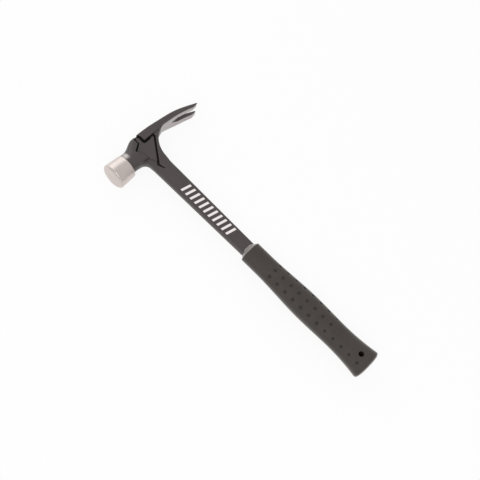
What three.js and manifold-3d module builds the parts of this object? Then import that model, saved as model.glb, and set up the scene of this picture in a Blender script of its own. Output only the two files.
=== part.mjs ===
// Framing hammer: a one-piece coated forging with a rip claw, a bright steel striking cap,
// a magnet in the nail starter and a moulded grip over the tang.
// Millimetres, +Z up. The hammer lies on its side: +X runs up the shank to the head,
// +Y points out of the striking face and +Z out of the upper cheek.
import * as THREE from 'three';
import * as BufferGeometryUtils from 'three/addons/utils/BufferGeometryUtils.js';
import Module from 'manifold-3d';

const wasm = await Module();
wasm.setup();

// Sizes of the whole tool, measured from the crossing of the shank axis and the poll axis
const headTop = 22.4;
const buttReach = 410;
const faceReach = 61.5;
const clawReach = 97.5;
const gripCollarReach = 197;
const fitGap = 0.3;

// Striking cap and the spigot that carries it
const faceDiameter = 36.6;
const capRearDiameter = 33.6;
const capLength = 26;
const faceChamfer = 2;
const capRearRound = 0.8;
const spigotDiameter = 20;
const spigotLength = 18;
const spigotChamfer = 1;

// Poll neck between the head block and the cap
const neckTop = 16.2;
const neckBottom = 12.9;
const neckWidth = 28.4;
const neckBlendStart = 8;
const neckBlendEnd = 27;
const neckBlockPower = 7;

// Beam along the top of the head, running out into the claw
const beamWidth = 22.4;
const beamUnderside = 9.8;
const beamEdgeRound = 1.8;
const clawArcStart = 8;
const clawTopRadius = 214;
const clawFlareStart = 34;
const clawFlareEnd = 70;
const clawTipWidth = 32.5;
const clawTaperStart = 40;
const clawTaperPower = 1.5;
const clawEndThickness = 5.9;
const clawDish = 1.2;
const clawBevelLength = 8.5;
const clawEdgeThickness = 0.8;

// Nail slot between the tines
const slotRootReach = 57;
const slotRootRadius = 1.3;
const slotThroatReach = 66;
const slotThroatWidth = 11;
const slotMouthWidth = 11.8;

// Shank and tang, one bar with the head
const shankWidthAtHead = 25.8;
const shankWidthAtGrip = 21.4;
const shankThickness = 9;
const shankEdgeRound = 2.4;
const shankTaperStart = 22;
const tangShoulderInset = 7;
const tangShoulder = gripCollarReach + tangShoulderInset;
const tangShoulderLength = 6;
const tangWidth = 16;
const tangThickness = 6;
const tangEdgeRound = 1.2;
const tangEndInset = 38;
const tangEnd = buttReach - tangEndInset;
const keyHoleDiameter = 5;
const keyHoleCount = 3;
const keyHoleInset = 28;

// Web and raised cheek between head and shank
const throatLength = 34.5;
const throatDepth = 30.5;
const underNeckRadius = 10;
const underNeckRunOut = 8;
const underNeckSink = 1.5;
const cheekWidth = 20.8;
const cheekEnd = 40;
const cheekTipAcross = 0.6;
const cheekShoulderReach = 26;
const cheekShoulderAcross = 6;
const cheekNeckReach = 11;
const cheekNeckAcross = 18.5;
const cheekRim = 0.4;
const cheekFallAngle = 16;
const webEndInset = 1.5;

// Sunken cheek panel and the cross notch above it
const panelDepth = 1.2;
const panelBackAcross = 19.6;
const panelHipReach = 6;
const panelHipAcross = 21.4;
const panelTipReach = 26.5;
const panelTipAcross = 1.4;
const panelNeckReach = 5.5;
const panelNeckAcross = 15.8;
const panelStepReach = 11.8;
const panelStepAcross = 5.3;
const notchWidth = 4.4;
const notchCentre = 0.6;
const notchDepth = 4.8;
const nailHeadDepth = 1.5;
const notchFlare = 2.9;
const grooveWidth = 2.3;
const grooveDepth = 1.2;
const grooveRunOut = 12;
const grooveRunOutWidth = 1.2;
const stepGrooveLength = 11;
const stepGrooveDepth = 0.9;

// Nail starter groove and its magnet
const nailGrooveRadius = 3.2;
const nailGrooveDepth = 2.6;
const magnetDiameter = 5;
const magnetLength = 6;
const magnetReach = 9;

// Moulded grip
const gripConeLength = 6.5;
const gripMouthReach = gripCollarReach - gripConeLength;
const gripLip = 1;
const gripPower = 2.3;
const collarHeight = 31;
const collarThickness = 25;
const collarLength = 25;
const collarEnd = gripCollarReach + collarLength;
const swellInset = 107;
const swellReach = buttReach - swellInset;
const swellHeight = 37.4;
const swellThickness = 29.6;
const waistInset = 55;
const waistReach = buttReach - waistInset;
const waistHeight = 35.2;
const waistThickness = 28;
const buttHeight = 45;
const buttThickness = 33;
const buttDome = 7;
const buttDomePower = 3;
const hangHoleDiameter = 6.6;
const hangHoleInset = 18;
const hangHoleReach = buttReach - hangHoleInset;

// Dimples of the grip: each row has a turn from the flat side, in degrees, and a count
const dimpleDiameter = 4.6;
const dimpleDepth = 0.9;
const dimpleStartInset = 42.5;
const dimpleEndInset = 14.3;
const longRowCount = 12;
const shortRowCount = 8;
const dimpleRows = [[-46, shortRowCount], [-2, shortRowCount], [43, longRowCount]];

// Facets
const ringSteps = 40;
const cornerSteps = 5;
const cornerLimit = 0.8;
const arcSteps = 20;
const clawStations = 26;
const neckStations = 12;
const gripStations = 28;
const domeStations = 7;
const roundSteps = 48;
const smallRoundSteps = 24;
const dimpleSteps = 8;
const weldTolerance = 1e-4;
const cutThrough = 60;

// Turns a closed geometry into a solid that can be joined and cut.
function solidOf(geometry) {
  const bare = geometry.clone();
  bare.deleteAttribute('normal');
  bare.deleteAttribute('uv');
  const welded = BufferGeometryUtils.mergeVertices(bare, weldTolerance);
  const vertProperties = new Float32Array(welded.attributes.position.array);
  const triVerts = new Uint32Array(welded.index.array);
  if (signedVolume(vertProperties, triVerts) < 0) {
    triVerts.reverse();
  }
  return new wasm.Manifold(new wasm.Mesh({ numProp: 3, vertProperties, triVerts }));
}

// Six times the volume inside a triangle mesh, negative when its faces point inwards.
function signedVolume(positions, triangles) {
  const corner = (index) => new THREE.Vector3().fromArray(positions, 3 * triangles[index]);
  let total = 0;
  for (let index = 0; index < triangles.length; index += 3) {
    total += corner(index).dot(corner(index + 1).cross(corner(index + 2)));
  }
  return total;
}

// Turns a finished solid back into a geometry for a mesh.
function geometryOf(solid) {
  const mesh = solid.getMesh();
  const geometry = new THREE.BufferGeometry();
  geometry.setAttribute('position', new THREE.BufferAttribute(mesh.vertProperties, 3));
  geometry.setIndex(new THREE.BufferAttribute(mesh.triVerts, 1));
  geometry.computeVertexNormals();
  return geometry;
}

function lerp(from, to, share) {
  return from + (to - from) * share;
}

function smooth(share) {
  return THREE.MathUtils.smoothstep(share, 0, 1);
}

// Joins rings of equal point count into a closed skin, each end closed by a fan.
function loft(rings) {
  const count = rings[0].length;
  const points = rings.flat();
  const faces = [];
  for (let station = 0; station + 1 < rings.length; station += 1) {
    for (let step = 0; step < count; step += 1) {
      const here = station * count + step;
      const next = station * count + ((step + 1) % count);
      faces.push(here, next, here + count);
      faces.push(next, next + count, here + count);
    }
  }
  const first = 0;
  const last = (rings.length - 1) * count;
  const firstCentre = points.length;
  const lastCentre = firstCentre + 1;
  points.push(centreOf(rings[0]), centreOf(rings[rings.length - 1]));
  for (let step = 0; step < count; step += 1) {
    const next = (step + 1) % count;
    faces.push(firstCentre, first + next, first + step);
    faces.push(lastCentre, last + step, last + next);
  }
  const geometry = new THREE.BufferGeometry().setFromPoints(points);
  geometry.setIndex(faces);
  return solidOf(geometry);
}

function centreOf(ring) {
  const centre = new THREE.Vector3();
  ring.forEach((point) => centre.add(point));
  return centre.divideScalar(ring.length);
}

// Points of a superellipse: power 2 is an ellipse, higher powers are squarer.
function ovalRing(halfAcross, halfUp, power) {
  const points = [];
  for (let step = 0; step < ringSteps; step += 1) {
    const angle = (2 * Math.PI * step) / ringSteps;
    const across = Math.sign(Math.cos(angle)) * Math.abs(Math.cos(angle)) ** (2 / power);
    const up = Math.sign(Math.sin(angle)) * Math.abs(Math.sin(angle)) ** (2 / power);
    points.push(new THREE.Vector2(halfAcross * across, halfUp * up));
  }
  return points;
}

// Points of a rectangle with rounded corners, each limited to a share of the half sides.
function roundedRing(halfAcross, halfUp, radius) {
  const corner = Math.min(radius, cornerLimit * halfAcross, cornerLimit * halfUp);
  const points = [];
  for (let quarter = 0; quarter < 4; quarter += 1) {
    const signAcross = quarter === 0 || quarter === 3 ? 1 : -1;
    const signUp = quarter < 2 ? 1 : -1;
    for (let step = 0; step <= cornerSteps; step += 1) {
      const angle = (Math.PI / 2) * (quarter + step / cornerSteps);
      const across = signAcross * (halfAcross - corner) + corner * Math.cos(angle);
      const up = signUp * (halfUp - corner) + corner * Math.sin(angle);
      points.push(new THREE.Vector2(across, up));
    }
  }
  return points;
}

// Extrudes an outline drawn in X and Y right through the head, centred on the mid plane.
function crossCut(outline, thickness) {
  const options = { depth: thickness, bevelEnabled: false, curveSegments: arcSteps };
  const geometry = new THREE.ExtrudeGeometry(outline, options);
  geometry.translate(0, 0, -thickness / 2);
  return solidOf(geometry);
}

function polygon(corners) {
  return new THREE.Shape(corners.map(([x, y]) => new THREE.Vector2(x, y)));
}

// Round bar from one point to another along a row axis, for pegs, bores and pockets.
function roundBar(diameter, from, to, steps) {
  const length = from.distanceTo(to);
  const geometry = new THREE.CylinderGeometry(diameter / 2, diameter / 2, length, steps);
  const along = new THREE.Vector3().subVectors(to, from).normalize();
  const turn = new THREE.Quaternion().setFromUnitVectors(new THREE.Vector3(0, 1, 0), along);
  geometry.applyQuaternion(turn);
  const middle = new THREE.Vector3().addVectors(from, to).multiplyScalar(0.5);
  geometry.translate(middle.x, middle.y, middle.z);
  return solidOf(geometry);
}

// Height of the top of the beam and claw at a distance behind the shank axis.
function clawTopAt(reach) {
  const past = Math.max(0, reach - clawArcStart);
  return headTop - (clawTopRadius - Math.sqrt(clawTopRadius ** 2 - past ** 2));
}

// Thickness of the beam and claw: full at the root, thinning to the chisel bevel at the tip.
function clawThicknessAt(reach) {
  const bevelStart = clawReach - clawBevelLength;
  if (reach <= clawTaperStart) {
    return clawTopAt(reach) - beamUnderside;
  }
  const rootThickness = clawTopAt(clawTaperStart) - beamUnderside;
  if (reach <= bevelStart) {
    const share = (reach - clawTaperStart) / (bevelStart - clawTaperStart);
    return lerp(rootThickness, clawEndThickness, share ** clawTaperPower);
  }
  return lerp(clawEndThickness, clawEdgeThickness, (reach - bevelStart) / clawBevelLength);
}

function clawWidthAt(reach) {
  const share = smooth((reach - clawFlareStart) / (clawFlareEnd - clawFlareStart));
  return lerp(beamWidth, clawTipWidth, share);
}

// Hollow along the middle of the claw's underside: none at the root and at the chisel edge.
function clawDishAt(reach) {
  const bevelStart = clawReach - clawBevelLength;
  const grown = smooth((reach - clawTaperStart) / (slotThroatReach - clawTaperStart));
  return clawDish * grown * Math.min(1, (clawReach - reach) / (clawReach - bevelStart));
}

function clawRing(reach) {
  const top = clawTopAt(reach);
  const half = clawThicknessAt(reach) / 2;
  const ring = roundedRing(half, clawWidthAt(reach) / 2, beamEdgeRound);
  ring.splice(ring.length / 2, 0, new THREE.Vector2(clawDishAt(reach) - half, 0));
  return ring.map((point) => new THREE.Vector3(top - half + point.x, -reach, point.y));
}

// Beam and claw as one bar: it starts in the cross notch and ends at the chisel edge.
function beamAndClaw() {
  const bevelStart = clawReach - clawBevelLength;
  const rings = [clawRing(-notchCentre)];
  for (let station = 0; station <= clawStations; station += 1) {
    rings.push(clawRing((bevelStart * station) / clawStations));
  }
  rings.push(clawRing(clawReach));
  return loft(rings);
}

// Poll neck: a squarish block at the shank turning into a round shoulder behind the cap.
function pollNeck() {
  const shoulder = faceReach - capLength - fitGap;
  const rings = [];
  for (let station = 0; station <= neckStations; station += 1) {
    const reach = lerp(0, shoulder, station / neckStations);
    const share = smooth((reach - neckBlendStart) / (neckBlendEnd - neckBlendStart));
    const top = lerp(headTop, neckTop, share);
    const half = (top + neckBottom) / 2;
    const power = lerp(neckBlockPower, 2, Math.sqrt(share));
    const ring = ovalRing(half, lerp(beamWidth, neckWidth, share) / 2, power);
    rings.push(ring.map((point) => new THREE.Vector3(top - half + point.x, reach, point.y)));
  }
  return loft(rings);
}

// Spigot that the striking cap is seated on.
function capSpigot() {
  const start = neckBlendEnd;
  const end = faceReach - capLength + spigotLength - fitGap;
  const radius = spigotDiameter / 2;
  const profile = [
    new THREE.Vector2(0, start),
    new THREE.Vector2(radius, start),
    new THREE.Vector2(radius, end - spigotChamfer),
    new THREE.Vector2(radius - spigotChamfer, end),
    new THREE.Vector2(0, end),
  ];
  return solidOf(new THREE.LatheGeometry(profile, roundSteps));
}

// Width of the shank at a distance below the poll axis.
function shankWidthAt(reach) {
  const share = (reach - shankTaperStart) / (gripCollarReach - shankTaperStart);
  return lerp(shankWidthAtHead, shankWidthAtGrip, Math.max(0, share));
}

// Shank and tang as one bar, grown all round by a clearance for the moulded cavity.
function shankAndTang(start, clearance) {
  const stations = [
    [start, shankWidthAt(start), shankThickness, shankEdgeRound],
    [shankTaperStart, shankWidthAt(shankTaperStart), shankThickness, shankEdgeRound],
    [tangShoulder, shankWidthAt(tangShoulder), shankThickness, shankEdgeRound],
    [tangShoulder + tangShoulderLength, tangWidth, tangThickness, tangEdgeRound],
    [tangEnd + clearance, tangWidth, tangThickness, tangEdgeRound],
  ].filter(([reach]) => reach >= start);
  const rings = stations.map(([reach, width, thickness, round]) => {
    const ring = roundedRing(width / 2 + clearance, thickness / 2 + clearance, round + clearance);
    return ring.map((point) => new THREE.Vector3(-reach, point.x, point.y));
  });
  return loft(rings);
}

// Pegs of grip material, or the holes for them, across the tang.
function tangKeys(diameter) {
  const half = shankThickness;
  const first = tangShoulder + tangShoulderLength + keyHoleInset;
  const last = tangEnd - keyHoleInset;
  return Array.from({ length: keyHoleCount }, (_, index) => {
    const reach = lerp(first, last, index / (keyHoleCount - 1));
    const from = new THREE.Vector3(-reach, 0, -half);
    const to = new THREE.Vector3(-reach, 0, half);
    return roundBar(diameter, from, to, smallRoundSteps);
  });
}

// Lower edge of web and cheeks: from the shank round the throat to the underside of the claw.
function drawThroat(outline) {
  const throatStart = throatLength - beamUnderside;
  const half = shankWidthAt(throatStart) / 2;
  outline.lineTo(-cheekEnd, webEndInset - shankWidthAt(cheekEnd) / 2);
  outline.lineTo(-throatStart, -half);
  outline.absellipse(-throatStart, -half - throatDepth, throatLength, throatDepth, Math.PI / 2, 0, true);
  outline.lineTo(beamUnderside + beamEdgeRound, -half - throatDepth);
}

// Flat web of shank thickness with the throat behind and the fillet under the neck.
function shankWeb() {
  const half = shankWidthAt(neckBottom + underNeckRadius) / 2;
  const filletStart = half + underNeckRadius;
  const outline = new THREE.Shape();
  outline.moveTo(0, filletStart + underNeckRunOut);
  outline.lineTo(underNeckSink - neckBottom, filletStart + underNeckRunOut);
  outline.lineTo(-neckBottom, filletStart);
  outline.absarc(-neckBottom - underNeckRadius, filletStart, underNeckRadius, 0, -Math.PI / 2, true);
  outline.lineTo(-cheekEnd, shankWidthAt(cheekEnd) / 2 - webEndInset);
  drawThroat(outline);
  return crossCut(outline, shankThickness);
}

// Raised cheeks: thick under the beam, falling away to the shank's flat at the lower tip.
function raisedCheeks() {
  const outline = new THREE.Shape();
  outline.moveTo(beamUnderside + beamEdgeRound, cheekNeckAcross);
  outline.lineTo(-cheekNeckReach, cheekNeckAcross);
  outline.lineTo(-cheekShoulderReach, cheekShoulderAcross);
  outline.lineTo(-cheekEnd, cheekTipAcross);
  drawThroat(outline);
  const cheeks = crossCut(outline, cheekWidth).intersect(cheekWedge());
  return cheeks.subtract(cheekFall(1)).subtract(cheekFall(-1));
}

// Half thickness of the cheeks at a height above the poll axis.
function cheekHalfAt(height) {
  const share = (height + cheekEnd) / (beamUnderside + cheekEnd);
  return lerp(shankThickness, cheekWidth, Math.min(1, share)) / 2;
}

// Cut that lets a cheek fall away from the rim of its panel towards the fillet under the neck.
function cheekFall(side) {
  const rimAt = (height, across) => {
    return new THREE.Vector3(height, across, cheekHalfAt(height) - panelDepth + cheekRim);
  };
  const start = rimAt(panelNeckReach, panelNeckAcross);
  const end = rimAt(-panelTipReach, panelTipAcross);
  const along = new THREE.Vector3().subVectors(end, start).normalize();
  const outward = new THREE.Vector3(along.y, -along.x, 0).normalize();
  const up = new THREE.Vector3().crossVectors(along, outward);
  const drop = cutThrough * Math.tan(THREE.MathUtils.degToRad(cheekFallAngle));
  const section = polygon([[0, 0], [cutThrough, -drop], [cutThrough, cutThrough], [0, cutThrough]]);
  const length = start.distanceTo(end) + underNeckRadius;
  const geometry = new THREE.ExtrudeGeometry(section, { depth: length, bevelEnabled: false });
  geometry.translate(0, 0, -underNeckRadius);
  geometry.applyMatrix4(new THREE.Matrix4().makeBasis(outward, up, along));
  geometry.translate(start.x, start.y, start.z);
  geometry.scale(1, 1, side);
  return solidOf(geometry);
}

// Plan of the cheeks seen from the face: parallel beside the beam, then a straight taper.
function cheekWedge() {
  const plan = polygon([
    [headTop, cheekWidth / 2],
    [beamUnderside, cheekWidth / 2],
    [-cheekEnd, shankThickness / 2],
    [-cheekEnd, -shankThickness / 2],
    [beamUnderside, -cheekWidth / 2],
    [headTop, -cheekWidth / 2],
  ]);
  const geometry = new THREE.ExtrudeGeometry(plan, { depth: 2 * clawReach, bevelEnabled: false });
  geometry.translate(0, 0, -clawReach);
  geometry.rotateX(Math.PI / 2);
  return solidOf(geometry);
}

// Lays a cut on the floor of one cheek's panel, sunk below it by a depth; side is 1 for the upper cheek.
function ontoPanel(geometry, depth, side) {
  const fall = (cheekWidth - shankThickness) / 2;
  const slope = Math.atan2(fall, beamUnderside + cheekEnd);
  geometry.translate(-beamUnderside, 0, -depth);
  geometry.rotateY(-slope);
  geometry.translate(beamUnderside, 0, cheekWidth / 2 - panelDepth);
  geometry.scale(1, 1, side);
  return solidOf(geometry);
}

// Corners of the panel beside the beam, from the cross notch down to the panel's tip.
function beamSideCorners() {
  const notchBack = notchCentre - notchWidth / 2;
  return [
    [headTop, notchBack],
    [headTop - notchDepth, notchBack - notchFlare],
    [beamUnderside, notchBack - notchFlare],
    [beamUnderside, -panelBackAcross],
    [panelHipReach, -panelHipAcross],
    [-panelTipReach, panelTipAcross],
  ];
}

// Corners of the panel beside the neck, from its neck corner up to the cross notch.
function neckSideCorners() {
  const notchFront = notchCentre + notchWidth / 2;
  return [
    [panelNeckReach, panelNeckAcross],
    [panelStepReach, panelStepAcross],
    [headTop - notchDepth, notchFront + notchFlare],
    [headTop, notchFront],
  ];
}

// Sunken panel of one cheek, its floor parallel to the cheek.
function cheekPanel(side) {
  const outline = polygon([...beamSideCorners(), ...neckSideCorners()]);
  const geometry = new THREE.ExtrudeGeometry(outline, { depth: cheekWidth, bevelEnabled: false });
  return ontoPanel(geometry, 0, side);
}

// Round-ended cut of a width, lying to the right of a line as it is walked.
function grooveCut([fromX, fromY], [toX, toY], width) {
  const length = Math.hypot(toX - fromX, toY - fromY);
  const half = width / 2;
  const outline = new THREE.Shape();
  outline.absarc(0, 0, half, Math.PI / 2, 1.5 * Math.PI, false);
  outline.absarc(length, 0, half, -Math.PI / 2, Math.PI / 2, false);
  const options = { depth: cheekWidth, bevelEnabled: false, curveSegments: cornerSteps };
  const geometry = new THREE.ExtrudeGeometry(outline, options);
  geometry.translate(0, -half, 0);
  geometry.rotateZ(Math.atan2(toY - fromY, toX - fromX));
  geometry.translate(fromX, fromY, 0);
  return geometry;
}

// Grooves that line the panel beside beam and neck, and one that runs on under the beam.
function panelGrooves(side) {
  const cuts = [];
  [beamSideCorners(), neckSideCorners()].forEach((corners) => {
    for (let index = 0; index + 1 < corners.length; index += 1) {
      const cut = grooveCut(corners[index], corners[index + 1], grooveWidth);
      cuts.push(ontoPanel(cut, grooveDepth, side));
    }
  });
  const runOutStart = [beamUnderside, -panelBackAcross];
  const runOutEnd = [beamUnderside, -panelBackAcross - grooveRunOut];
  cuts.push(ontoPanel(grooveCut(runOutStart, runOutEnd, grooveRunOutWidth), grooveDepth, side));
  return cuts;
}

// Short groove where the lower edge of one cheek steps down to the shank's flat.
function stepGroove(side) {
  const start = new THREE.Vector2(-cheekShoulderReach, cheekShoulderAcross);
  const tip = new THREE.Vector2(-cheekEnd, cheekTipAcross);
  const end = tip.sub(start).setLength(stepGrooveLength).add(start);
  const geometry = grooveCut(end.toArray(), start.toArray(), grooveWidth);
  geometry.translate(0, 0, shankThickness / 2 - stepGrooveDepth);
  geometry.scale(1, 1, side);
  return solidOf(geometry);
}

// Nail slot between the tines: a round root, a quick spread and a slow one to the mouth.
function nailSlot() {
  const past = clawReach + clawBevelLength;
  const spread = (slotMouthWidth - slotThroatWidth) / 2 / (clawReach - slotThroatReach);
  const halfPast = slotThroatWidth / 2 + spread * (past - slotThroatReach);
  const outline = new THREE.Shape();
  outline.moveTo(past, -halfPast);
  outline.lineTo(past, halfPast);
  outline.lineTo(slotThroatReach, slotThroatWidth / 2);
  outline.lineTo(slotRootReach + slotRootRadius, slotRootRadius);
  outline.absarc(slotRootReach + slotRootRadius, 0, slotRootRadius, Math.PI / 2, 1.5 * Math.PI, false);
  outline.lineTo(slotThroatReach, -slotThroatWidth / 2);
  const options = { depth: cutThrough, bevelEnabled: false, curveSegments: arcSteps };
  const geometry = new THREE.ExtrudeGeometry(outline, options);
  geometry.translate(0, 0, -cutThrough / 2);
  geometry.rotateY(Math.PI / 2);
  geometry.rotateX(-Math.PI / 2);
  return solidOf(geometry);
}

// Cross notch for the nail's head.
function crossNotch() {
  const outline = polygon([
    [headTop + nailHeadDepth, notchCentre - notchWidth / 2],
    [headTop + nailHeadDepth, notchCentre + notchWidth / 2],
    [headTop - nailHeadDepth, notchCentre + notchWidth / 2],
    [headTop - nailHeadDepth, notchCentre - notchWidth / 2],
  ]);
  return crossCut(outline, cutThrough);
}

// Groove along the top for the nail's shank, from the notch to where the neck falls away.
function nailGroove() {
  const height = headTop - nailGrooveDepth + nailGrooveRadius;
  const from = new THREE.Vector3(height, notchCentre, 0);
  const to = new THREE.Vector3(height, faceReach, 0);
  return roundBar(2 * nailGrooveRadius, from, to, smallRoundSteps);
}

// Bar standing in the head below the groove: the magnet, or the pocket that holds it.
function magnetBar(diameter, bottom, top) {
  const from = new THREE.Vector3(bottom, magnetReach, 0);
  const to = new THREE.Vector3(top, magnetReach, 0);
  return roundBar(diameter, from, to, smallRoundSteps);
}

// The magnet's top lies just under the floor of the groove.
function magnetTop() {
  return headTop - nailGrooveDepth - fitGap;
}

function forgedBody() {
  let body = beamAndClaw().add(pollNeck()).add(raisedCheeks());
  body = body.subtract(cheekPanel(1)).subtract(cheekPanel(-1));
  body = body.add(shankWeb()).add(shankAndTang(-beamUnderside, 0)).add(capSpigot());
  body = body.subtract(nailSlot()).subtract(crossNotch()).subtract(nailGroove());
  [1, -1].forEach((side) => {
    [...panelGrooves(side), stepGroove(side)].forEach((cut) => {
      body = body.subtract(cut);
    });
  });
  const pocketFloor = magnetTop() - magnetLength - fitGap;
  body = body.subtract(magnetBar(magnetDiameter + 2 * fitGap, pocketFloor, headTop));
  tangKeys(keyHoleDiameter).forEach((hole) => {
    body = body.subtract(hole);
  });
  return geometryOf(body);
}

// Cap turned about the poll axis: flat face, chamfer, slight taper and a blind bore.
function strikingCap() {
  const rear = faceReach - capLength;
  const faceRadius = faceDiameter / 2;
  const rearRadius = capRearDiameter / 2;
  const boreRadius = spigotDiameter / 2 + fitGap;
  const profile = [
    new THREE.Vector2(0, rear + spigotLength),
    new THREE.Vector2(boreRadius, rear + spigotLength),
    new THREE.Vector2(boreRadius, rear),
    new THREE.Vector2(rearRadius - capRearRound, rear),
    new THREE.Vector2(rearRadius, rear + capRearRound),
    new THREE.Vector2(faceRadius, faceReach - faceChamfer),
    new THREE.Vector2(faceRadius - faceChamfer, faceReach),
    new THREE.Vector2(0, faceReach),
  ];
  return new THREE.LatheGeometry(profile, roundSteps);
}

function nailMagnet() {
  return geometryOf(magnetBar(magnetDiameter, magnetTop() - magnetLength, magnetTop()));
}

// Height and thickness of the grip at a distance below the poll axis, eased between its stations.
function gripSizeAt(reach) {
  const stations = [
    [gripCollarReach, collarHeight, collarThickness],
    [collarEnd, collarHeight, collarThickness],
    [swellReach, swellHeight, swellThickness],
    [waistReach, waistHeight, waistThickness],
    [buttReach, buttHeight, buttThickness],
  ];
  const found = stations.findIndex(([end]) => reach <= end);
  const index = Math.max(1, found < 0 ? stations.length - 1 : found);
  const [fromReach, fromHeight, fromThickness] = stations[index - 1];
  const [toReach, toHeight, toThickness] = stations[index];
  const straight = (reach - fromReach) / (toReach - fromReach);
  const share = toReach === buttReach ? straight ** 2 : smooth(straight);
  return [lerp(fromHeight, toHeight, share), lerp(fromThickness, toThickness, share)];
}

function gripRing(reach, height, thickness, power) {
  const ring = ovalRing(height / 2, thickness / 2, power);
  return ring.map((point) => new THREE.Vector3(-reach, point.x, point.y));
}

// Outer form of the grip: a cone at the mouth, a swell, a waist and a flared domed butt.
function gripOuter() {
  const mouthThickness = shankThickness + 2 * fitGap + 2 * gripLip;
  const mouthHeight = (mouthThickness * collarHeight) / collarThickness;
  const rings = [gripRing(gripMouthReach, mouthHeight, mouthThickness, gripPower)];
  const domeStart = buttReach - buttDome;
  for (let station = 0; station <= gripStations; station += 1) {
    const reach = lerp(gripCollarReach, domeStart, station / gripStations);
    const [height, thickness] = gripSizeAt(reach);
    rings.push(gripRing(reach, height, thickness, gripPower));
  }
  for (let station = 1; station < domeStations; station += 1) {
    const angle = (Math.PI / 2) * (station / domeStations);
    const reach = domeStart + buttDome * Math.sin(angle) ** (2 / buttDomePower);
    const [height, thickness] = gripSizeAt(reach);
    const shrink = Math.cos(angle) ** (2 / buttDomePower);
    rings.push(gripRing(reach, shrink * height, shrink * thickness, gripPower));
  }
  rings.push(gripRing(buttReach, gripLip, gripLip, gripPower));
  return loft(rings);
}

// Shallow round cut in the side of the grip at a reach and a turn; side is 1 for the upper side.
function dimpleCut(reach, turn, side) {
  const [height, thickness] = gripSizeAt(reach);
  const angle = THREE.MathUtils.degToRad(turn);
  const shareAcross = Math.abs(Math.sin(angle)) / (height / 2);
  const shareUp = Math.cos(angle) / (thickness / 2);
  const radial = (shareAcross ** gripPower + shareUp ** gripPower) ** (-1 / gripPower);
  const outward = new THREE.Vector3(
    0,
    (Math.sign(angle) * shareAcross ** (gripPower - 1)) / height,
    shareUp ** (gripPower - 1) / thickness,
  ).normalize();
  const ballRadius = (dimpleDiameter ** 2 / 4 + dimpleDepth ** 2) / (2 * dimpleDepth);
  const centre = new THREE.Vector3(-reach, radial * Math.sin(angle), radial * Math.cos(angle));
  centre.addScaledVector(outward, ballRadius - dimpleDepth);
  const geometry = new THREE.SphereGeometry(ballRadius, dimpleSteps, dimpleSteps);
  geometry.applyQuaternion(new THREE.Quaternion().setFromUnitVectors(new THREE.Vector3(0, 1, 0), outward));
  geometry.translate(centre.x, centre.y, centre.z);
  geometry.scale(1, 1, side);
  return solidOf(geometry);
}

function grip() {
  let cavity = shankAndTang(gripMouthReach - gripLip, fitGap);
  tangKeys(keyHoleDiameter - 2 * fitGap).forEach((peg) => {
    cavity = cavity.subtract(peg);
  });
  const from = new THREE.Vector3(-hangHoleReach, 0, -cutThrough / 2);
  const to = new THREE.Vector3(-hangHoleReach, 0, cutThrough / 2);
  const hangHole = roundBar(hangHoleDiameter, from, to, smallRoundSteps);
  let sleeve = gripOuter().subtract(cavity).subtract(hangHole);
  const first = gripCollarReach + dimpleStartInset;
  const last = buttReach - dimpleEndInset;
  dimpleRows.forEach(([turn, count]) => {
    for (let index = 0; index < count; index += 1) {
      const reach = lerp(first, last, index / (longRowCount - 1));
      sleeve = sleeve.subtract(dimpleCut(reach, turn, 1)).subtract(dimpleCut(reach, turn, -1));
    }
  });
  return geometryOf(sleeve);
}

const hammer = new THREE.Group();

function addPiece(name, geometry, color, roughness, metalness) {
  const material = new THREE.MeshStandardMaterial({ color, roughness, metalness });
  const mesh = new THREE.Mesh(geometry, material);
  mesh.name = name;
  hammer.add(mesh);
}

addPiece('forged_body', forgedBody(), 0x3a3634, 0.45, 0.3);
addPiece('striking_cap', strikingCap(), 0xcfc8c4, 0.25, 1);
addPiece('nail_magnet', nailMagnet(), 0x9a9a9c, 0.3, 1);
addPiece('grip', grip(), 0x4a4542, 0.8, 0);

// The origin is the middle of the lying tool's outline, on the surface under its widest piece.
const lowest = Math.max(faceDiameter, clawTipWidth, buttThickness) / 2;
hammer.position.set((buttReach - headTop) / 2, (clawReach - faceReach) / 2, lowest);

export default hammer;
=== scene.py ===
# Looks of a framing hammer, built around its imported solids.
# Lengths are in millimetres in the hammer's own axes until a point is placed in the frame, in metres.
import math

import bpy
import numpy as np
import openvdb
from mathutils import Matrix, Vector


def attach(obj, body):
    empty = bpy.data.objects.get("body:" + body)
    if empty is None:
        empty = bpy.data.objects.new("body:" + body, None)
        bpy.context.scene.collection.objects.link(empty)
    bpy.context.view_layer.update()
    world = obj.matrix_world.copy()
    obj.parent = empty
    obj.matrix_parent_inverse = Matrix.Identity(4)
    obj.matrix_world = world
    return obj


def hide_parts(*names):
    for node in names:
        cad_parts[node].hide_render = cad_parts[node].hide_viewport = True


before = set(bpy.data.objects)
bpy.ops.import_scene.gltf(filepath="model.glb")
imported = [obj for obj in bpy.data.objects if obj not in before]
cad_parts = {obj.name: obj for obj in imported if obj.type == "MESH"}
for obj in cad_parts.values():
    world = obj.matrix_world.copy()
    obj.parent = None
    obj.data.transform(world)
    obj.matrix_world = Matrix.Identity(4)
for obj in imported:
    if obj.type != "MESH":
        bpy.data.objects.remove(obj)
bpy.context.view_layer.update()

# Where the shank axis crosses the poll axis, in the frame
CROSSING = np.array([193.8, 18, 18.3])
MILLIMETRE = 0.001

# Rounding of the forged body
VOXEL = 0.45 * MILLIMETRE
HOLLOW_ROUND = 0.45 * MILLIMETRE
EDGE_ROUND = 0.6 * MILLIMETRE
BAND_VOXELS = 8
CAVITY_REACH = 2.4 * MILLIMETRE
SMOOTH_PASSES = 3
SMOOTH_STRENGTHS = (0.5, -0.52)

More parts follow.
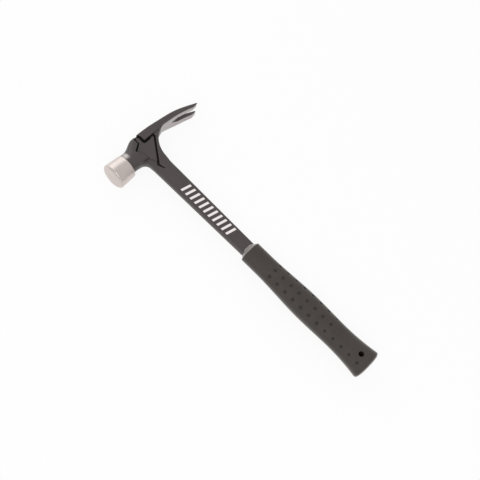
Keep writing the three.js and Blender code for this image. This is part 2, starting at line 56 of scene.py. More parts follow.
# Painted shade in the corner between the step of the beam and the sunken panel
STEP_CORNERS = np.array([(22.4, -1.6), (17.6, -4.5), (9.8, -4.5), (9.8, -12)])
BEAM_FRONT = STEP_CORNERS[:3]
STEP_SHADE = (3.3, 4.1)

# Where the forged body gets painted shade, ground steel and a painted highlight, each as the start and
# end of a blend
GROOVE_DEPTH = (0.5, 1.1)
UNDER_NECK_ACROSS = (7, 9)
UNDER_NECK_BELOW = (-2, 2)
CLAW_GROUND_FROM = (33, 37)
CLAW_GROUND_FACING = (0.35, 0.6)
CLAW_BEVEL_FROM = (88, 89)
CLAW_BEVEL_FACING = (0.2, 0.4)
SLOT_WALL_FACING = (0.55, 0.75)
# Bare steel on the upper front of the neck beside the cap, as a painted highlight
NECK_HIGHLIGHT_FROM = (26.5, 30)
NECK_HIGHLIGHT_FACING = (0.9, 1.3)

# Steps of a rounded edge on a turned piece
EDGE_STEPS = 6

# Striking cap
FACE_REACH = 61.5
CAP_LENGTH = 26
FACE_RADIUS = 18.3
CAP_REAR_RADIUS = 16.8
FACE_CHAMFER = 2
CAP_REAR_ROUND = 0.8
CAP_BORE_RADIUS = 10.3
CAP_BORE_DEPTH = 18
CAP_CENTRE_RADIUS = 0.2
CAP_BORE_EDGE = 0.2
CAP_REAR_EDGES = (0.4, 0.5)
FACE_EDGES = (0.9, 0.8)
CAP_STEPS = 192

# Nail magnet
MAGNET_RADIUS = 2.5
MAGNET_LENGTH = 6
MAGNET_TOP = 19.5
MAGNET_REACH = 9
MAGNET_CENTRE_RADIUS = 0.1
MAGNET_EDGE = 0.3
MAGNET_STEPS = 64

# Grip
GRIP_MOUTH = 190.5
GRIP_COLLAR = 197
COLLAR_END = 222
SWELL_REACH = 303
WAIST_REACH = 355
BUTT_REACH = 410
COLLAR_SIZE = (31, 25)
SWELL_SIZE = (37.4, 29.6)
WAIST_SIZE = (35.2, 28)
BUTT_SIZE = (45, 33)
MOUTH_SIZE = (14.384, 11.6)
MOUTH_BLEND = 0.4
BUTT_DOME = 7
DOME_POWER = 3
GRIP_POWER = 2.3
GRIP_SPACING = 0.5
GRIP_STEPS = 224
CONE_STEPS = 14
DOME_STEPS = 40
DIMPLE_RADIUS = 2.7
DIMPLE_DEPTH = 0.9
DIMPLE_FLOOR_SHARE = 0.45
DIMPLE_RIM_SHADE = 4
DIMPLE_FLOOR_SHADE = 0.45
DIMPLE_PITCH = 14.2
DIMPLE_START = 239.5
DIMPLE_TURNS = (-46, -2, 43)
DIMPLE_COUNTS = (8, 8, 12)
DIMPLE_FADE_START = 335
DIMPLE_FADE_SHARE = 0.35
HANG_HOLE_REACH = 392
HANG_HOLE_RADIUS = 3.3
HANG_HOLE_FLARE = ((0, 3.2), (0.25, 1.6), (1.2, 0))
HANG_HOLE_SHADE = (0.25, 0.6)
HANG_HOLE_STEPS = 64
SHANK_HALF_WIDTH = 10.9
SHANK_HALF_THICKNESS = 4.6
SHANK_ROUND = 2.4
SHANK_ROUND_STEPS = 8
SHANK_SPACE_AHEAD = 5
SHANK_SPACE_DEPTH = 12

# Plain bars printed on the upper flat of the shank
PRINT_START = 72
PRINT_PITCH = 8.4
PRINT_COUNT = 11
PRINT_BAR = 3.4
PRINT_HALF_HEIGHT = 7.4
PRINT_LEAN = 0.22
PRINT_SOFT = 0.12

# Colours and finish of the coating and of the steel under it
COAT_DARK = (0.050, 0.040, 0.039, 1)
COAT_LIGHT = (0.062, 0.050, 0.049, 1)
COAT_SPECK = (0.074, 0.065, 0.063, 1)
# Colour of the painted shade in the grooves and corners
COAT_SHADE = (0.006, 0.0055, 0.005, 1)
COAT_SHINE = 0.5
SHADE_SHINE_CHANGE = -0.42
COAT_ROUGHNESS = (0.30, 0.40)
PRINT_COLOUR = (0.84, 0.79, 0.775, 1)
GROUND_DARK = (0.34, 0.31, 0.30, 1)
GROUND_LIGHT = (0.50, 0.465, 0.455, 1)
GROUND_ROUGHNESS = (0.28, 0.40)

# Colours and finish of the striking cap and the magnet
POLISH_DARK = (0.63, 0.56, 0.53, 1)
POLISH_LIGHT = (0.70, 0.625, 0.595, 1)
POLISH_ROUGHNESS = (0.34, 0.40)
MAGNET_DARK = (0.28, 0.28, 0.29, 1)
MAGNET_LIGHT = (0.38, 0.38, 0.39, 1)
MAGNET_ROUGHNESS = (0.3, 0.42)

# Colours and finish of the grip
RUBBER_DARK = (0.040, 0.0325, 0.0285, 1)
RUBBER_LIGHT = (0.050, 0.0415, 0.0365, 1)
RUBBER_GRAIN = (0.062, 0.053, 0.047, 1)
RUBBER_ROUGHNESS = (0.62, 0.75)
# Painted shade in the dimples
DIMPLE_SHADE_COLOUR = (0.012, 0.0105, 0.0095, 1)
# Painted highlight on the mouth of the grip, much lighter than the rubber
MOUTH_HIGHLIGHT_COLOUR = (0.23, 0.212, 0.207, 1)
MOUTH_ROUGHNESS = 0.3
# Painted shade inside the hang hole
HOLE_SHADE_COLOUR = (0.024, 0.019, 0.018, 1)
RUBBER_SHINE = 0.35
SHEEN_ROUGHNESS = 0.36
SHEEN_TINT = (1, 0.94, 0.9, 1)

# Ends of a ramp over noise, and the colour sockets of the mix node
RAMP_ENDS = (0.3, 0.7)
MIX_FACTOR = 0
MIX_FIRST = 6
MIX_SECOND = 7
MIX_RESULT = 2

# Floor and light
FLOOR_HALF = 6
FLOOR_COLOUR = (0.86, 0.86, 0.86, 1)
FLOOR_ROUGHNESS = 0.9
FLOOR_WHITE_SHARE = 0.9
WHITE = (1, 1, 1, 1)
WORLD_STRENGTH = 0.72


def place(points):
    """Points in the hammer's axes, in millimetres, as points in the frame, in metres."""
    return (np.asarray(points, float) + CROSSING) * MILLIMETRE


def smooth_step(low, high, value):
    share = np.clip((value - low) / (high - low), 0, 1)
    return share * share * (3 - 2 * share)


def new_piece(name, points, faces):
    """A smooth-shaded mesh object from points in metres."""
    mesh = bpy.data.meshes.new(name)
    mesh.from_pydata([tuple(point) for point in points], [], faces)
    mesh.validate()
    mesh.polygons.foreach_set("use_smooth", np.ones(len(mesh.polygons), bool))
    piece = bpy.data.objects.new(name, mesh)
    bpy.context.scene.collection.objects.link(piece)
    return piece


def set_attribute(piece, name, values):
    layer = piece.data.attributes.new(name, "FLOAT", "POINT")
    layer.data.foreach_set("value", np.asarray(values, np.float32))


def loft_faces(rings, steps):
    """Quads between rings of equal count, with a fan at each end; the two fan centres come last."""
    here = np.arange(rings - 1)[:, None] * steps + np.arange(steps)[None, :]
    turn = np.roll(here, -1, axis=1)
    quads = np.stack([here, turn, turn + steps, here + steps], axis=-1).reshape(-1, 4)
    faces = quads.tolist()
    first_centre = rings * steps
    last = (rings - 1) * steps
    for step in range(steps):
        after = (step + 1) % steps
        faces.append((first_centre, after, step))
        faces.append((first_centre + 1, last + step, last + after))
    return faces


def loft(name, rings):
    """A closed piece through rings of points in millimetres."""
    rings = np.asarray(rings)
    count, steps = rings.shape[:2]
    centres = np.stack([rings[0].mean(axis=0), rings[-1].mean(axis=0)])
    points = np.concatenate([rings.reshape(-1, 3), centres])
    return new_piece(name, place(points), loft_faces(count, steps))


def rounded_corners(profile):
    """A line through the profile's corners, each given as a point and the radius that rounds it."""
    points = []
    for index, (corner, radius) in enumerate(profile):
        if radius == 0:
            points.append(corner)
            continue
        corner = Vector(corner)
        before = (Vector(profile[index - 1][0]) - corner).normalized()
        after = (Vector(profile[index + 1][0]) - corner).normalized()
        half_angle = before.angle(after) / 2
        run = radius / math.tan(half_angle)
        start = corner + before * run
        end = corner + after * run
        centre = corner + (before + after).normalized() * (radius / math.sin(half_angle))
        for step in range(EDGE_STEPS + 1):
            along = start.lerp(end, step / EDGE_STEPS) - centre
            points.append(tuple(centre + along.normalized() * radius))
    return points


def turned(name, profile, steps, axis_point, along, across):
    """A closed piece turned about an axis; the profile holds pairs of radius and reach along it."""
    side = np.cross(along, across)
    angles = np.arange(steps) * 2 * math.pi / steps
    circle = np.cos(angles)[:, None] * across + np.sin(angles)[:, None] * side
    rings = [axis_point + reach * along + radius * circle for radius, reach in profile]
    return loft(name, rings)


# Forged body: the solid with its hollows filleted and its edges broken
def mesh_of(node):
    mesh = node.data
    points = np.empty(len(mesh.vertices) * 3, np.float32)
    mesh.vertices.foreach_get("co", points)
    mesh.calc_loop_triangles()
    triangles = np.empty(len(mesh.loop_triangles) * 3, np.int32)
    mesh.loop_triangles.foreach_get("vertices", triangles)
    return points.reshape(-1, 3), triangles.reshape(-1, 3).astype(np.uint32)


def level_set(points, **polygons):
    grid_step = openvdb.createLinearTransform(voxelSize=VOXEL)
    return openvdb.FloatGrid.createLevelSetFromPolygons(
        points, transform=grid_step, halfWidth=BAND_VOXELS, **polygons)


def grown(grid, distance):
    points, quads = grid.convertToQuads(distance)
    return level_set(points, quads=quads)


def relaxed(points, quads):
    """Points drawn towards the middle of their neighbours and pushed back, so nothing shrinks."""
    sides = ([0, 1], [1, 2], [2, 3], [3, 0])
    edges = np.concatenate([quads[:, side] for side in sides])
    edges = np.concatenate([edges, edges[:, ::-1]]).astype(np.int64)
    counts = np.bincount(edges[:, 0], minlength=len(points))[:, None]
    for _ in range(SMOOTH_PASSES):
        for strength in SMOOTH_STRENGTHS:
            total = np.stack([
                np.bincount(edges[:, 0], weights=points[edges[:, 1], axis], minlength=len(points))
                for axis in range(3)], axis=1)
            points = points + strength * (total / counts - points)
    return points


def sampled(grid, points):
    reader = grid.getConstAccessor()
    cells = np.rint(points / VOXEL).astype(int)
    return np.array([reader.getValue(tuple(cell)) for cell in cells.tolist()])


def step_corner(local):
    """Share of painted shade on each point, in the corner beside the step of the beam."""
    distance = np.full(len(local), np.inf)
    for start, end in zip(STEP_CORNERS, STEP_CORNERS[1:]):
        run = end - start
        share = np.clip((local[:, :2] - start) @ run / (run @ run), 0, 1)
        nearest = start + share[:, None] * run
        distance = np.minimum(distance, np.linalg.norm(local[:, :2] - nearest, axis=1))
    front = np.interp(local[:, 0], BEAM_FRONT[::-1, 0], BEAM_FRONT[::-1, 1])
    on_beam = (local[:, 0] > BEAM_FRONT[-1, 0]) & (local[:, 1] < front)
    return np.where(on_beam, 0, 1 - smooth_step(*STEP_SHADE, distance))


def forged_body():
    points, triangles = mesh_of(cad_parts["forged_body"])
    solid = level_set(points, triangles=triangles)
    filleted = grown(grown(solid, HOLLOW_ROUND), -HOLLOW_ROUND - EDGE_ROUND)
    points, quads = filleted.convertToQuads(EDGE_ROUND)
    points = relaxed(points.astype(float), quads)
    piece = new_piece("forged_body_shape", points, quads[:, ::-1].tolist())
    closed = grown(grown(solid, CAVITY_REACH), -CAVITY_REACH)
    depth = -sampled(closed, points) / MILLIMETRE
    normals = np.empty(len(points) * 3, np.float32)
    piece.data.vertices.foreach_get("normal", normals)
    normals = normals.reshape(-1, 3)
    local = points / MILLIMETRE - CROSSING
    below = -local[:, 0]
    across = local[:, 1]
    # Painted shade: the coating is darkened in the grooves and in the corner beside the beam's step,
    # but not in the crease under the neck
    under_neck = smooth_step(*UNDER_NECK_ACROSS, across) * smooth_step(*UNDER_NECK_BELOW, below)
    groove = smooth_step(*GROOVE_DEPTH, depth) * (1 - under_neck)
    set_attribute(piece, "painted_shade", np.maximum(groove, step_corner(local)))
    facing_down = -normals[:, 0]
    underside = smooth_step(*CLAW_GROUND_FROM, -across) * smooth_step(*CLAW_GROUND_FACING, facing_down)
    bevel = smooth_step(*CLAW_BEVEL_FROM, -across) * smooth_step(*CLAW_BEVEL_FACING, facing_down)
    off_wall = 1 - smooth_step(*SLOT_WALL_FACING, np.abs(normals[:, 2]))
    # Painted highlight: bare steel on the upper front of the neck beside the cap
    upper_front = smooth_step(*NECK_HIGHLIGHT_FACING, normals[:, 0] + normals[:, 2])
    ring = smooth_step(*NECK_HIGHLIGHT_FROM, across) * upper_front
    ground = np.maximum(underside, bevel) * off_wall
    set_attribute(piece, "bare_and_highlight", np.maximum(ground, ring))
    return piece


# Striking cap, turned about the poll axis
def striking_cap():
    rear = FACE_REACH - CAP_LENGTH
    profile = [
        ((CAP_CENTRE_RADIUS, rear + CAP_BORE_DEPTH), 0),
        ((CAP_BORE_RADIUS, rear + CAP_BORE_DEPTH), 0),
        ((CAP_BORE_RADIUS, rear), CAP_BORE_EDGE),
        ((CAP_REAR_RADIUS - CAP_REAR_ROUND, rear), CAP_REAR_EDGES[0]),
        ((CAP_REAR_RADIUS, rear + CAP_REAR_ROUND), CAP_REAR_EDGES[1]),
        ((FACE_RADIUS, FACE_REACH - FACE_CHAMFER), FACE_EDGES[0]),
        ((FACE_RADIUS - FACE_CHAMFER, FACE_REACH), FACE_EDGES[1]),
        ((CAP_CENTRE_RADIUS, FACE_REACH), 0)]
    return turned("striking_cap_shape", rounded_corners(profile), CAP_STEPS,
                  np.zeros(3), np.array([0, 1, 0]), np.array([1, 0, 0]))


# Nail magnet, standing under the starter groove
def nail_magnet():
    bottom = MAGNET_TOP - MAGNET_LENGTH
    profile = [
        ((MAGNET_CENTRE_RADIUS, bottom), 0),
        ((MAGNET_RADIUS, bottom), MAGNET_EDGE),
        ((MAGNET_RADIUS, MAGNET_TOP), MAGNET_EDGE),
        ((MAGNET_CENTRE_RADIUS, MAGNET_TOP), 0)]
    return turned("nail_magnet_shape", rounded_corners(profile), MAGNET_STEPS,
                  np.array([0, MAGNET_REACH, 0]), np.array([1, 0, 0]), np.array([0, 1, 0]))


# Grip: swell, waist and flared butt over the tang
def grip_size(reach):
    """Height and thickness of the grip at a distance below the poll axis."""
    stations = [(GRIP_COLLAR, COLLAR_SIZE), (COLLAR_END, COLLAR_SIZE), (SWELL_REACH, SWELL_SIZE),
                (WAIST_REACH, WAIST_SIZE), (BUTT_REACH, BUTT_SIZE)]
    for (start, first), (end, second) in zip(stations, stations[1:]):
        if reach <= end:
            break
    if end == BUTT_REACH:
        share = ((reach - start) / (end - start)) ** 2
    else:
        share = smooth_step(start, end, reach)
    return np.array(first) + (np.array(second) - np.array(first)) * share


def grip_ring(reach, size):
    angles = np.arange(GRIP_STEPS) * 2 * math.pi / GRIP_STEPS
    across = np.sign(np.cos(angles)) * np.abs(np.cos(angles)) ** (2 / GRIP_POWER)
    up = np.sign(np.sin(angles)) * np.abs(np.sin(angles)) ** (2 / GRIP_POWER)
    return np.stack([np.full(GRIP_STEPS, -reach), across * size[0] / 2, up * size[1] / 2], axis=1)


def grip_stations():
    """Pairs of reach and size from the mouth to the middle of the butt."""
    stations = []
    mouth = np.array(MOUTH_SIZE)
    collar = np.array(COLLAR_SIZE)
    for step in range(CONE_STEPS):
        share = step / CONE_STEPS
        reach = GRIP_MOUTH + (GRIP_COLLAR - GRIP_MOUTH) * share
        stations.append((reach, mouth + (collar - mouth) * share))
    dome_start = BUTT_REACH - BUTT_DOME
    count = round((dome_start - GRIP_COLLAR) / GRIP_SPACING)
    for step in range(count + 1):
        reach = GRIP_COLLAR + (dome_start - GRIP_COLLAR) * step / count
        stations.append((reach, grip_size(reach)))
    for step in range(1, DOME_STEPS):
        angle = math.pi / 2 * step / DOME_STEPS
        reach = dome_start + BUTT_DOME * math.sin(angle) ** (2 / DOME_POWER)
        stations.append((reach, grip_size(reach) * math.cos(angle) ** (2 / DOME_POWER)))
    return stations


def dimple_centres():
    """Centre and strength of each dimple on the upper side and its mirror on the lower side."""
    for turn, count in zip(DIMPLE_TURNS, DIMPLE_COUNTS):
        for index in range(count):
            reach = DIMPLE_START + DIMPLE_PITCH * index
            height, thickness = grip_size(reach)
            angle = math.radians(turn)
            across = math.sin(angle)
            up = math.cos(angle)
            share_across = abs(2 * across / height) ** GRIP_POWER
            share_up = abs(2 * up / thickness) ** GRIP_POWER
            scale = (share_across + share_up) ** (-1 / GRIP_POWER)
            strength = 1 if reach < DIMPLE_FADE_START else DIMPLE_FADE_SHARE
            for side in (1, -1):
                yield np.array([-reach, across * scale, side * up * scale]), strength


def subtract(piece, cutter):
    """Cuts one closed piece out of another and removes the cutter."""
    cut = piece.modifiers.new("cut", "BOOLEAN")
    cut.operation = "DIFFERENCE"
    cut.solver = "MANIFOLD"
    cut.object = cutter
    bpy.context.view_layer.update()
    evaluated = piece.evaluated_get(bpy.context.evaluated_depsgraph_get())
    shaped = bpy.data.meshes.new_from_object(evaluated)
    piece.modifiers.clear()
    piece.data = shaped
    bpy.data.objects.remove(cutter)


def shank_bar():
    """The space of the shank inside the mouth of the grip."""
    ring = []
    for quarter in range(4):
        centre_y = (SHANK_HALF_WIDTH - SHANK_ROUND) * (1 if quarter in (0, 3) else -1)
        centre_z = (SHANK_HALF_THICKNESS - SHANK_ROUND) * (1 if quarter < 2 else -1)
        for step in range(SHANK_ROUND_STEPS + 1):
            angle = math.pi / 2 * (quarter + step / SHANK_ROUND_STEPS)
            y = centre_y + SHANK_ROUND * math.cos(angle)
            z = centre_z + SHANK_ROUND * math.sin(angle)
            ring.append((y, z))
    ends = (GRIP_MOUTH - SHANK_SPACE_AHEAD, GRIP_COLLAR + SHANK_SPACE_DEPTH)
    rings = [[(-reach, y, z) for y, z in ring] for reach in ends]
    return loft("shank_space", rings)


def hole_bar():
    """The hang hole with a slight flare at each side."""
    half = BUTT_SIZE[1] / 2
    flare = [(HANG_HOLE_RADIUS + wider, half - inset) for wider, inset in HANG_HOLE_FLARE]
    outline = [(radius, -reach) for radius, reach in reversed(flare)] + flare
    return turned("hole_space", outline, HANG_HOLE_STEPS,
                  np.array([-HANG_HOLE_REACH, 0, 0]), np.array([0, 0, 1]), np.array([1, 0, 0]))


def grip():
    stations = grip_stations()
    rings = np.array([grip_ring(reach, size) for reach, size in stations])
    points = rings.reshape(-1, 3)
    inward = points.copy()
    inward[:, 0] = 0
    inward /= -np.linalg.norm(inward, axis=1, keepdims=True)
    dimple = np.zeros(len(points))
    floor = DIMPLE_FLOOR_SHARE * DIMPLE_RADIUS
    for centre, strength in dimple_centres():
        distance = np.linalg.norm(points - centre, axis=1)
        dimple = np.maximum(dimple, strength * (1 - smooth_step(floor, DIMPLE_RADIUS, distance)))
    points = points + inward * (dimple * DIMPLE_DEPTH)[:, None]
    piece = loft("grip_shape", points.reshape(rings.shape))
    # Painted shade in the dimples, darkest on their slopes
    shade = DIMPLE_RIM_SHADE * dimple * (1 - dimple) + DIMPLE_FLOOR_SHADE * dimple
    fan_centres = np.zeros(2)
    set_attribute(piece, "dimple", np.concatenate([np.clip(shade, 0, 1), fan_centres]))
    mouth = smooth_step(-GRIP_COLLAR - MOUTH_BLEND, -GRIP_COLLAR + MOUTH_BLEND, points[:, 0])
    set_attribute(piece, "mouth", np.concatenate([mouth, fan_centres]))
    subtract(piece, shank_bar())
    subtract(piece, hole_bar())
    # Painted shade inside and round the hang hole
    spots = np.empty(len(piece.data.vertices) * 3, np.float32)
    piece.data.vertices.foreach_get("co", spots)
    spots = spots.reshape(-1, 3) / MILLIMETRE - CROSSING
    from_hole = np.hypot(spots[:, 0] + HANG_HOLE_REACH, spots[:, 1]) - HANG_HOLE_RADIUS
    set_attribute(piece, "hole", 1 - smooth_step(*HANG_HOLE_SHADE, from_hole))
    return piece


# Material helpers
def new_material(name):
    material = bpy.data.materials.new(name)
    material.use_nodes = True
    tree = material.node_tree
    return material, tree, tree.nodes["Principled BSDF"]


def add_node(tree, kind, settings=None, **sockets):
    """A node with its settings; each socket gets a value or, from another node's output, a link."""
    node = tree.nodes.new(kind)
    for key, value in (settings or {}).items():
        setattr(node, key, value)
    for key, value in sockets.items():
        set_socket(tree, node.inputs[key.replace("_", " ")], value)
    return node


def set_socket(tree, socket, value):
    if isinstance(value, bpy.types.NodeSocket):
        tree.links.new(value, socket)
    else:
        socket.default_value = value


def object_place(tree):
    return add_node(tree, "ShaderNodeTexCoord").outputs["Object"]


def stretched(tree, where, scale):
    return add_node(tree, "ShaderNodeMapping", Vector=where, Scale=scale).outputs["Vector"]


def noise(tree, where, scale, detail, roughness):
    node = add_node(tree, "ShaderNodeTexNoise", Vector=where, Scale=scale, Detail=detail,
                    Roughness=roughness)
    return node.outputs["Fac"]


def ramp(tree, factor, first, second, ends=RAMP_ENDS):
    """A colour that goes from the first to the second as the factor goes from end to end."""
    node = add_node(tree, "ShaderNodeValToRGB", Fac=factor)
    for element, position, colour in zip(node.color_ramp.elements, ends, (first, second)):
        element.position = position
        element.color = colour
    return node.outputs["Color"]


def grey(value):
    return (value, value, value, 1)


def grey_ramp(tree, factor, values):
    low, high = values
    return ramp(tree, factor, grey(low), grey(high))


def mixed(tree, factor, first, second):
    node = add_node(tree, "ShaderNodeMix", {"data_type": "RGBA"})
    set_socket(tree, node.inputs[MIX_FACTOR], factor)
    set_socket(tree, node.inputs[MIX_FIRST], first)
    set_socket(tree, node.inputs[MIX_SECOND], second)
    return node.outputs[MIX_RESULT]


def math_node(tree, operation, *values):
    node = add_node(tree, "ShaderNodeMath", {"operation": operation})
    for socket, value in zip(node.inputs, values):
        set_socket(tree, socket, value)
    return node.outputs[0]


def span(tree, value, low, high):
    """A share from 0 to 1 as the value goes from low to high."""
    node = add_node(tree, "ShaderNodeMapRange", Value=value)
    for name, number in (("From Min", low), ("From Max", high)):
        node.inputs[name].default_value = number
    return node.outputs["Result"]


def bump(tree, height, distance, strength, under=None):
    node = add_node(tree, "ShaderNodeBump", Height=height, Distance=distance, Strength=strength)
    if under is not None:
        tree.links.new(under, node.inputs["Normal"])
    return node.outputs["Normal"]


def attribute(tree, name):
    return add_node(tree, "ShaderNodeAttribute", {"attribute_name": name}).outputs["Fac"]


def band(tree, value, low, high):
    """One between low and high, falling to nought past them."""
    soft = PRINT_SOFT * MILLIMETRE
    rising = span(tree, value, low - soft, low + soft)
    falling = span(tree, value, high + soft, high - soft)
    return math_node(tree, "MULTIPLY", rising, falling)


def printed_bars(tree, where):
    """A mask of plain slanted bars on the shank's upper flat."""
    crossing = (CROSSING * MILLIMETRE).tolist()
    local = add_node(tree, "ShaderNodeVectorMath", {"operation": "SUBTRACT"})
    set_socket(tree, local.inputs[0], where)
    local.inputs[1].default_value = crossing
    axes = add_node(tree, "ShaderNodeSeparateXYZ", Vector=local.outputs[0]).outputs
    leaning = math_node(tree, "MULTIPLY_ADD", axes["Y"], PRINT_LEAN, -PRINT_START * MILLIMETRE)
    along = math_node(tree, "SUBTRACT", leaning, axes["X"])
    step = math_node(tree, "MODULO", along, PRINT_PITCH * MILLIMETRE)
    gap = (PRINT_PITCH - PRINT_BAR) / 2
    bars = band(tree, step, gap * MILLIMETRE, (gap + PRINT_BAR) * MILLIMETRE)
    run = band(tree, along, 0, PRINT_COUNT * PRINT_PITCH * MILLIMETRE)
    height = band(tree, axes["Y"], -PRINT_HALF_HEIGHT * MILLIMETRE, PRINT_HALF_HEIGHT * MILLIMETRE)
    upper = span(tree, axes["Z"], 0, MILLIMETRE)
    row = math_node(tree, "MULTIPLY", bars, run)
    flat = math_node(tree, "MULTIPLY", height, upper)
    return math_node(tree, "MULTIPLY", row, flat)


# Black coating over the forging, with painted shade in its grooves and corners, ground steel where the
# coating is taken off, and bare steel on the neck as a painted highlight
def coated_steel():
    material, tree, shader = new_material("coated_steel")
    where = object_place(tree)
    broad = noise(tree, where, scale=55, detail=5, roughness=0.6)
    fine = noise(tree, where, scale=1400, detail=3, roughness=0.55)
    speck = noise(tree, where, scale=4200, detail=2, roughness=0.5)
    coat = ramp(tree, broad, COAT_DARK, COAT_LIGHT)
    coat = mixed(tree, span(tree, speck, low=0.55, high=0.75), coat, COAT_SPECK)
    # Painted shade in the grooves and corners of the coating
    painted_shade = attribute(tree, "painted_shade")
    coat = mixed(tree, painted_shade, coat, COAT_SHADE)
    coat = mixed(tree, printed_bars(tree, where), coat, PRINT_COLOUR)
    strokes = stretched(tree, where, scale=(900, 60, 900))
    grind = noise(tree, strokes, scale=1, detail=4, roughness=0.6)
    steel = ramp(tree, grind, GROUND_DARK, GROUND_LIGHT, ends=(0.25, 0.75))
    # Ground steel on the claw, and bare steel on the neck as a painted highlight
    bare_and_highlight = attribute(tree, "bare_and_highlight")
    set_socket(tree, shader.inputs["Base Color"], mixed(tree, bare_and_highlight, coat, steel))
    set_socket(tree, shader.inputs["Metallic"], bare_and_highlight)
    shine = math_node(tree, "MULTIPLY_ADD", painted_shade, SHADE_SHINE_CHANGE, COAT_SHINE)
    set_socket(tree, shader.inputs["Specular IOR Level"], shine)
    coat_rough = grey_ramp(tree, fine, COAT_ROUGHNESS)
    steel_rough = grey_ramp(tree, grind, GROUND_ROUGHNESS)
    set_socket(tree, shader.inputs["Roughness"], mixed(tree, bare_and_highlight, coat_rough, steel_rough))
    peel = bump(tree, fine, distance=0.00003, strength=0.6)
    scratches = bump(tree, grind, distance=0.00002, strength=0.25, under=peel)
    set_socket(tree, shader.inputs["Normal"], scratches)
    return material


# Polished steel of the striking end, with turning marks round its axis
def polished_steel():
    material, tree, shader = new_material("polished_steel")
    where = object_place(tree)
    rings = stretched(tree, where, scale=(40, 2600, 40))
    marks = noise(tree, rings, scale=1, detail=3, roughness=0.6)
    cloud = noise(tree, where, scale=70, detail=4, roughness=0.6)
    set_socket(tree, shader.inputs["Base Color"], ramp(tree, cloud, POLISH_DARK, POLISH_LIGHT))
    shader.inputs["Metallic"].default_value = 1
    set_socket(tree, shader.inputs["Roughness"], grey_ramp(tree, marks, POLISH_ROUGHNESS))
    set_socket(tree, shader.inputs["Normal"], bump(tree, marks, distance=0.00001, strength=0.12))
    return material


# Plated magnet
def magnet_metal():
    material, tree, shader = new_material("magnet_metal")
    where = object_place(tree)
    cloud = noise(tree, where, scale=900, detail=4, roughness=0.6)
    set_socket(tree, shader.inputs["Base Color"], ramp(tree, cloud, MAGNET_DARK, MAGNET_LIGHT))
    shader.inputs["Metallic"].default_value = 1
    set_socket(tree, shader.inputs["Roughness"], grey_ramp(tree, cloud, MAGNET_ROUGHNESS))
    return material


# Moulded grip
def grip_rubber():
    material, tree, shader = new_material("grip_rubber")
    where = object_place(tree)
    broad = noise(tree, where, scale=40, detail=5, roughness=0.6)
    grain = noise(tree, where, scale=1900, detail=3, roughness=0.6)
    rubber = ramp(tree, broad, RUBBER_DARK, RUBBER_LIGHT)
    rubber = mixed(tree, span(tree, grain, low=0.5, high=0.8), rubber, RUBBER_GRAIN)
    # Painted shade in the dimples
    rubber = mixed(tree, attribute(tree, "dimple"), rubber, DIMPLE_SHADE_COLOUR)
    mouth = attribute(tree, "mouth")
    # Painted highlight: the mouth of the grip lighter than the rubber
    rubber = mixed(tree, mouth, rubber, MOUTH_HIGHLIGHT_COLOUR)
    # Painted shade inside the hang hole
    hole = attribute(tree, "hole")
    rubber = mixed(tree, hole, rubber, HOLE_SHADE_COLOUR)
    set_socket(tree, shader.inputs["Base Color"], rubber)
    matt = grey_ramp(tree, grain, RUBBER_ROUGHNESS)
    set_socket(tree, shader.inputs["Roughness"], mixed(tree, mouth, matt, grey(MOUTH_ROUGHNESS)))
    outside = math_node(tree, "SUBTRACT", 1, hole)
    set_socket(tree, shader.inputs["Sheen Weight"], outside)
    shader.inputs["Sheen Roughness"].default_value = SHEEN_ROUGHNESS
    shader.inputs["Sheen Tint"].default_value = SHEEN_TINT
    shine = math_node(tree, "MULTIPLY", outside, RUBBER_SHINE)
    set_socket(tree, shader.inputs["Specular IOR Level"], shine)
    set_socket(tree, shader.inputs["Normal"], bump(tree, grain, distance=0.00006, strength=0.7))
    return material


def dress(piece, node, material):
    piece.data.materials.clear()
    piece.data.materials.append(material)
    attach(piece, "root")
    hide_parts(node)


dress(forged_body(), "forged_body", coated_steel())
dress(striking_cap(), "striking_cap", polished_steel())
dress(nail_magnet(), "nail_magnet", magnet_metal())
dress(grip(), "grip", grip_rubber())


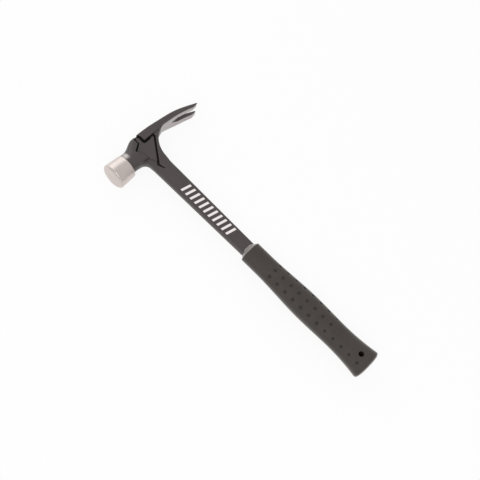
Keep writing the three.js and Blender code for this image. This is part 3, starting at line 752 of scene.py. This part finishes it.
# Floor: pale, seen as white, with a trace of the shadow left in it
def pale_floor():
    corners = [(-1, -1, 0), (1, -1, 0), (1, 1, 0), (-1, 1, 0)]
    floor = new_piece("floor", np.array(corners) * FLOOR_HALF, [(0, 1, 2, 3)])
    material, tree, shader = new_material("pale_floor")
    shader.inputs["Base Color"].default_value = FLOOR_COLOUR
    shader.inputs["Roughness"].default_value = FLOOR_ROUGHNESS
    shader.inputs["Specular IOR Level"].default_value = 0
    seen = add_node(tree, "ShaderNodeLightPath")
    ray = math_node(tree, "MAXIMUM", seen.outputs["Is Camera Ray"], seen.outputs["Is Glossy Ray"])
    ray = math_node(tree, "MAXIMUM", ray, seen.outputs["Is Transmission Ray"])
    white = add_node(tree, "ShaderNodeEmission", Color=WHITE, Strength=1.0)
    share = math_node(tree, "MULTIPLY", ray, FLOOR_WHITE_SHARE)
    blend = add_node(tree, "ShaderNodeMixShader", Fac=share)
    tree.links.new(shader.outputs[0], blend.inputs[1])
    tree.links.new(white.outputs[0], blend.inputs[2])
    tree.links.new(blend.outputs[0], tree.nodes["Material Output"].inputs["Surface"])
    floor.data.materials.append(material)


def soft_lamp(name, place_m, target_m, size, power):
    lamp = bpy.data.lights.new(name, "AREA")
    lamp.shape = "DISK"
    lamp.size = size
    lamp.energy = power
    holder = bpy.data.objects.new(name, lamp)
    bpy.context.scene.collection.objects.link(holder)
    direction = Vector(target_m) - Vector(place_m)
    turn = direction.to_track_quat("-Z", "Y").to_matrix().to_4x4()
    holder.matrix_world = Matrix.Translation(place_m) @ turn


def studio():
    world = bpy.data.worlds.new("studio")
    bpy.context.scene.world = world
    world.use_nodes = True
    background = world.node_tree.nodes["Background"]
    background.inputs["Color"].default_value = WHITE
    background.inputs["Strength"].default_value = WORLD_STRENGTH
    soft_lamp("side_lamp", place_m=(1.35, -0.48, 0.62), target_m=(0.15, 0, 0), size=1.35, power=3.7)
    soft_lamp("front_lamp", place_m=(-0.3, 1.2, 1.7), target_m=(0, 0, 0), size=1.6, power=15)


# Camera fitted to the photograph: its place and its right, up and back directions
CAMERA_PLACE = (-379.09, 478.95, 1146.94)
CAMERA_RIGHT = (-0.706635, -0.68837, 0.163752)
CAMERA_UP = (0.689036, -0.616803, 0.380503)
CAMERA_BACK = (-0.160924, 0.381708, 0.910166)
CAMERA_ANGLE = 28.136


def camera():
    lens = bpy.data.cameras.new("camera")
    lens.angle = math.radians(CAMERA_ANGLE)
    holder = bpy.data.objects.new("camera", lens)
    bpy.context.scene.collection.objects.link(holder)
    turn = Matrix((CAMERA_RIGHT, CAMERA_UP, CAMERA_BACK)).transposed().to_4x4()
    holder.matrix_world = Matrix.Translation(place(CAMERA_PLACE)) @ turn
    bpy.context.scene.camera = holder


pale_floor()
studio()
camera()
bpy.context.scene.view_settings.view_transform = "Standard"
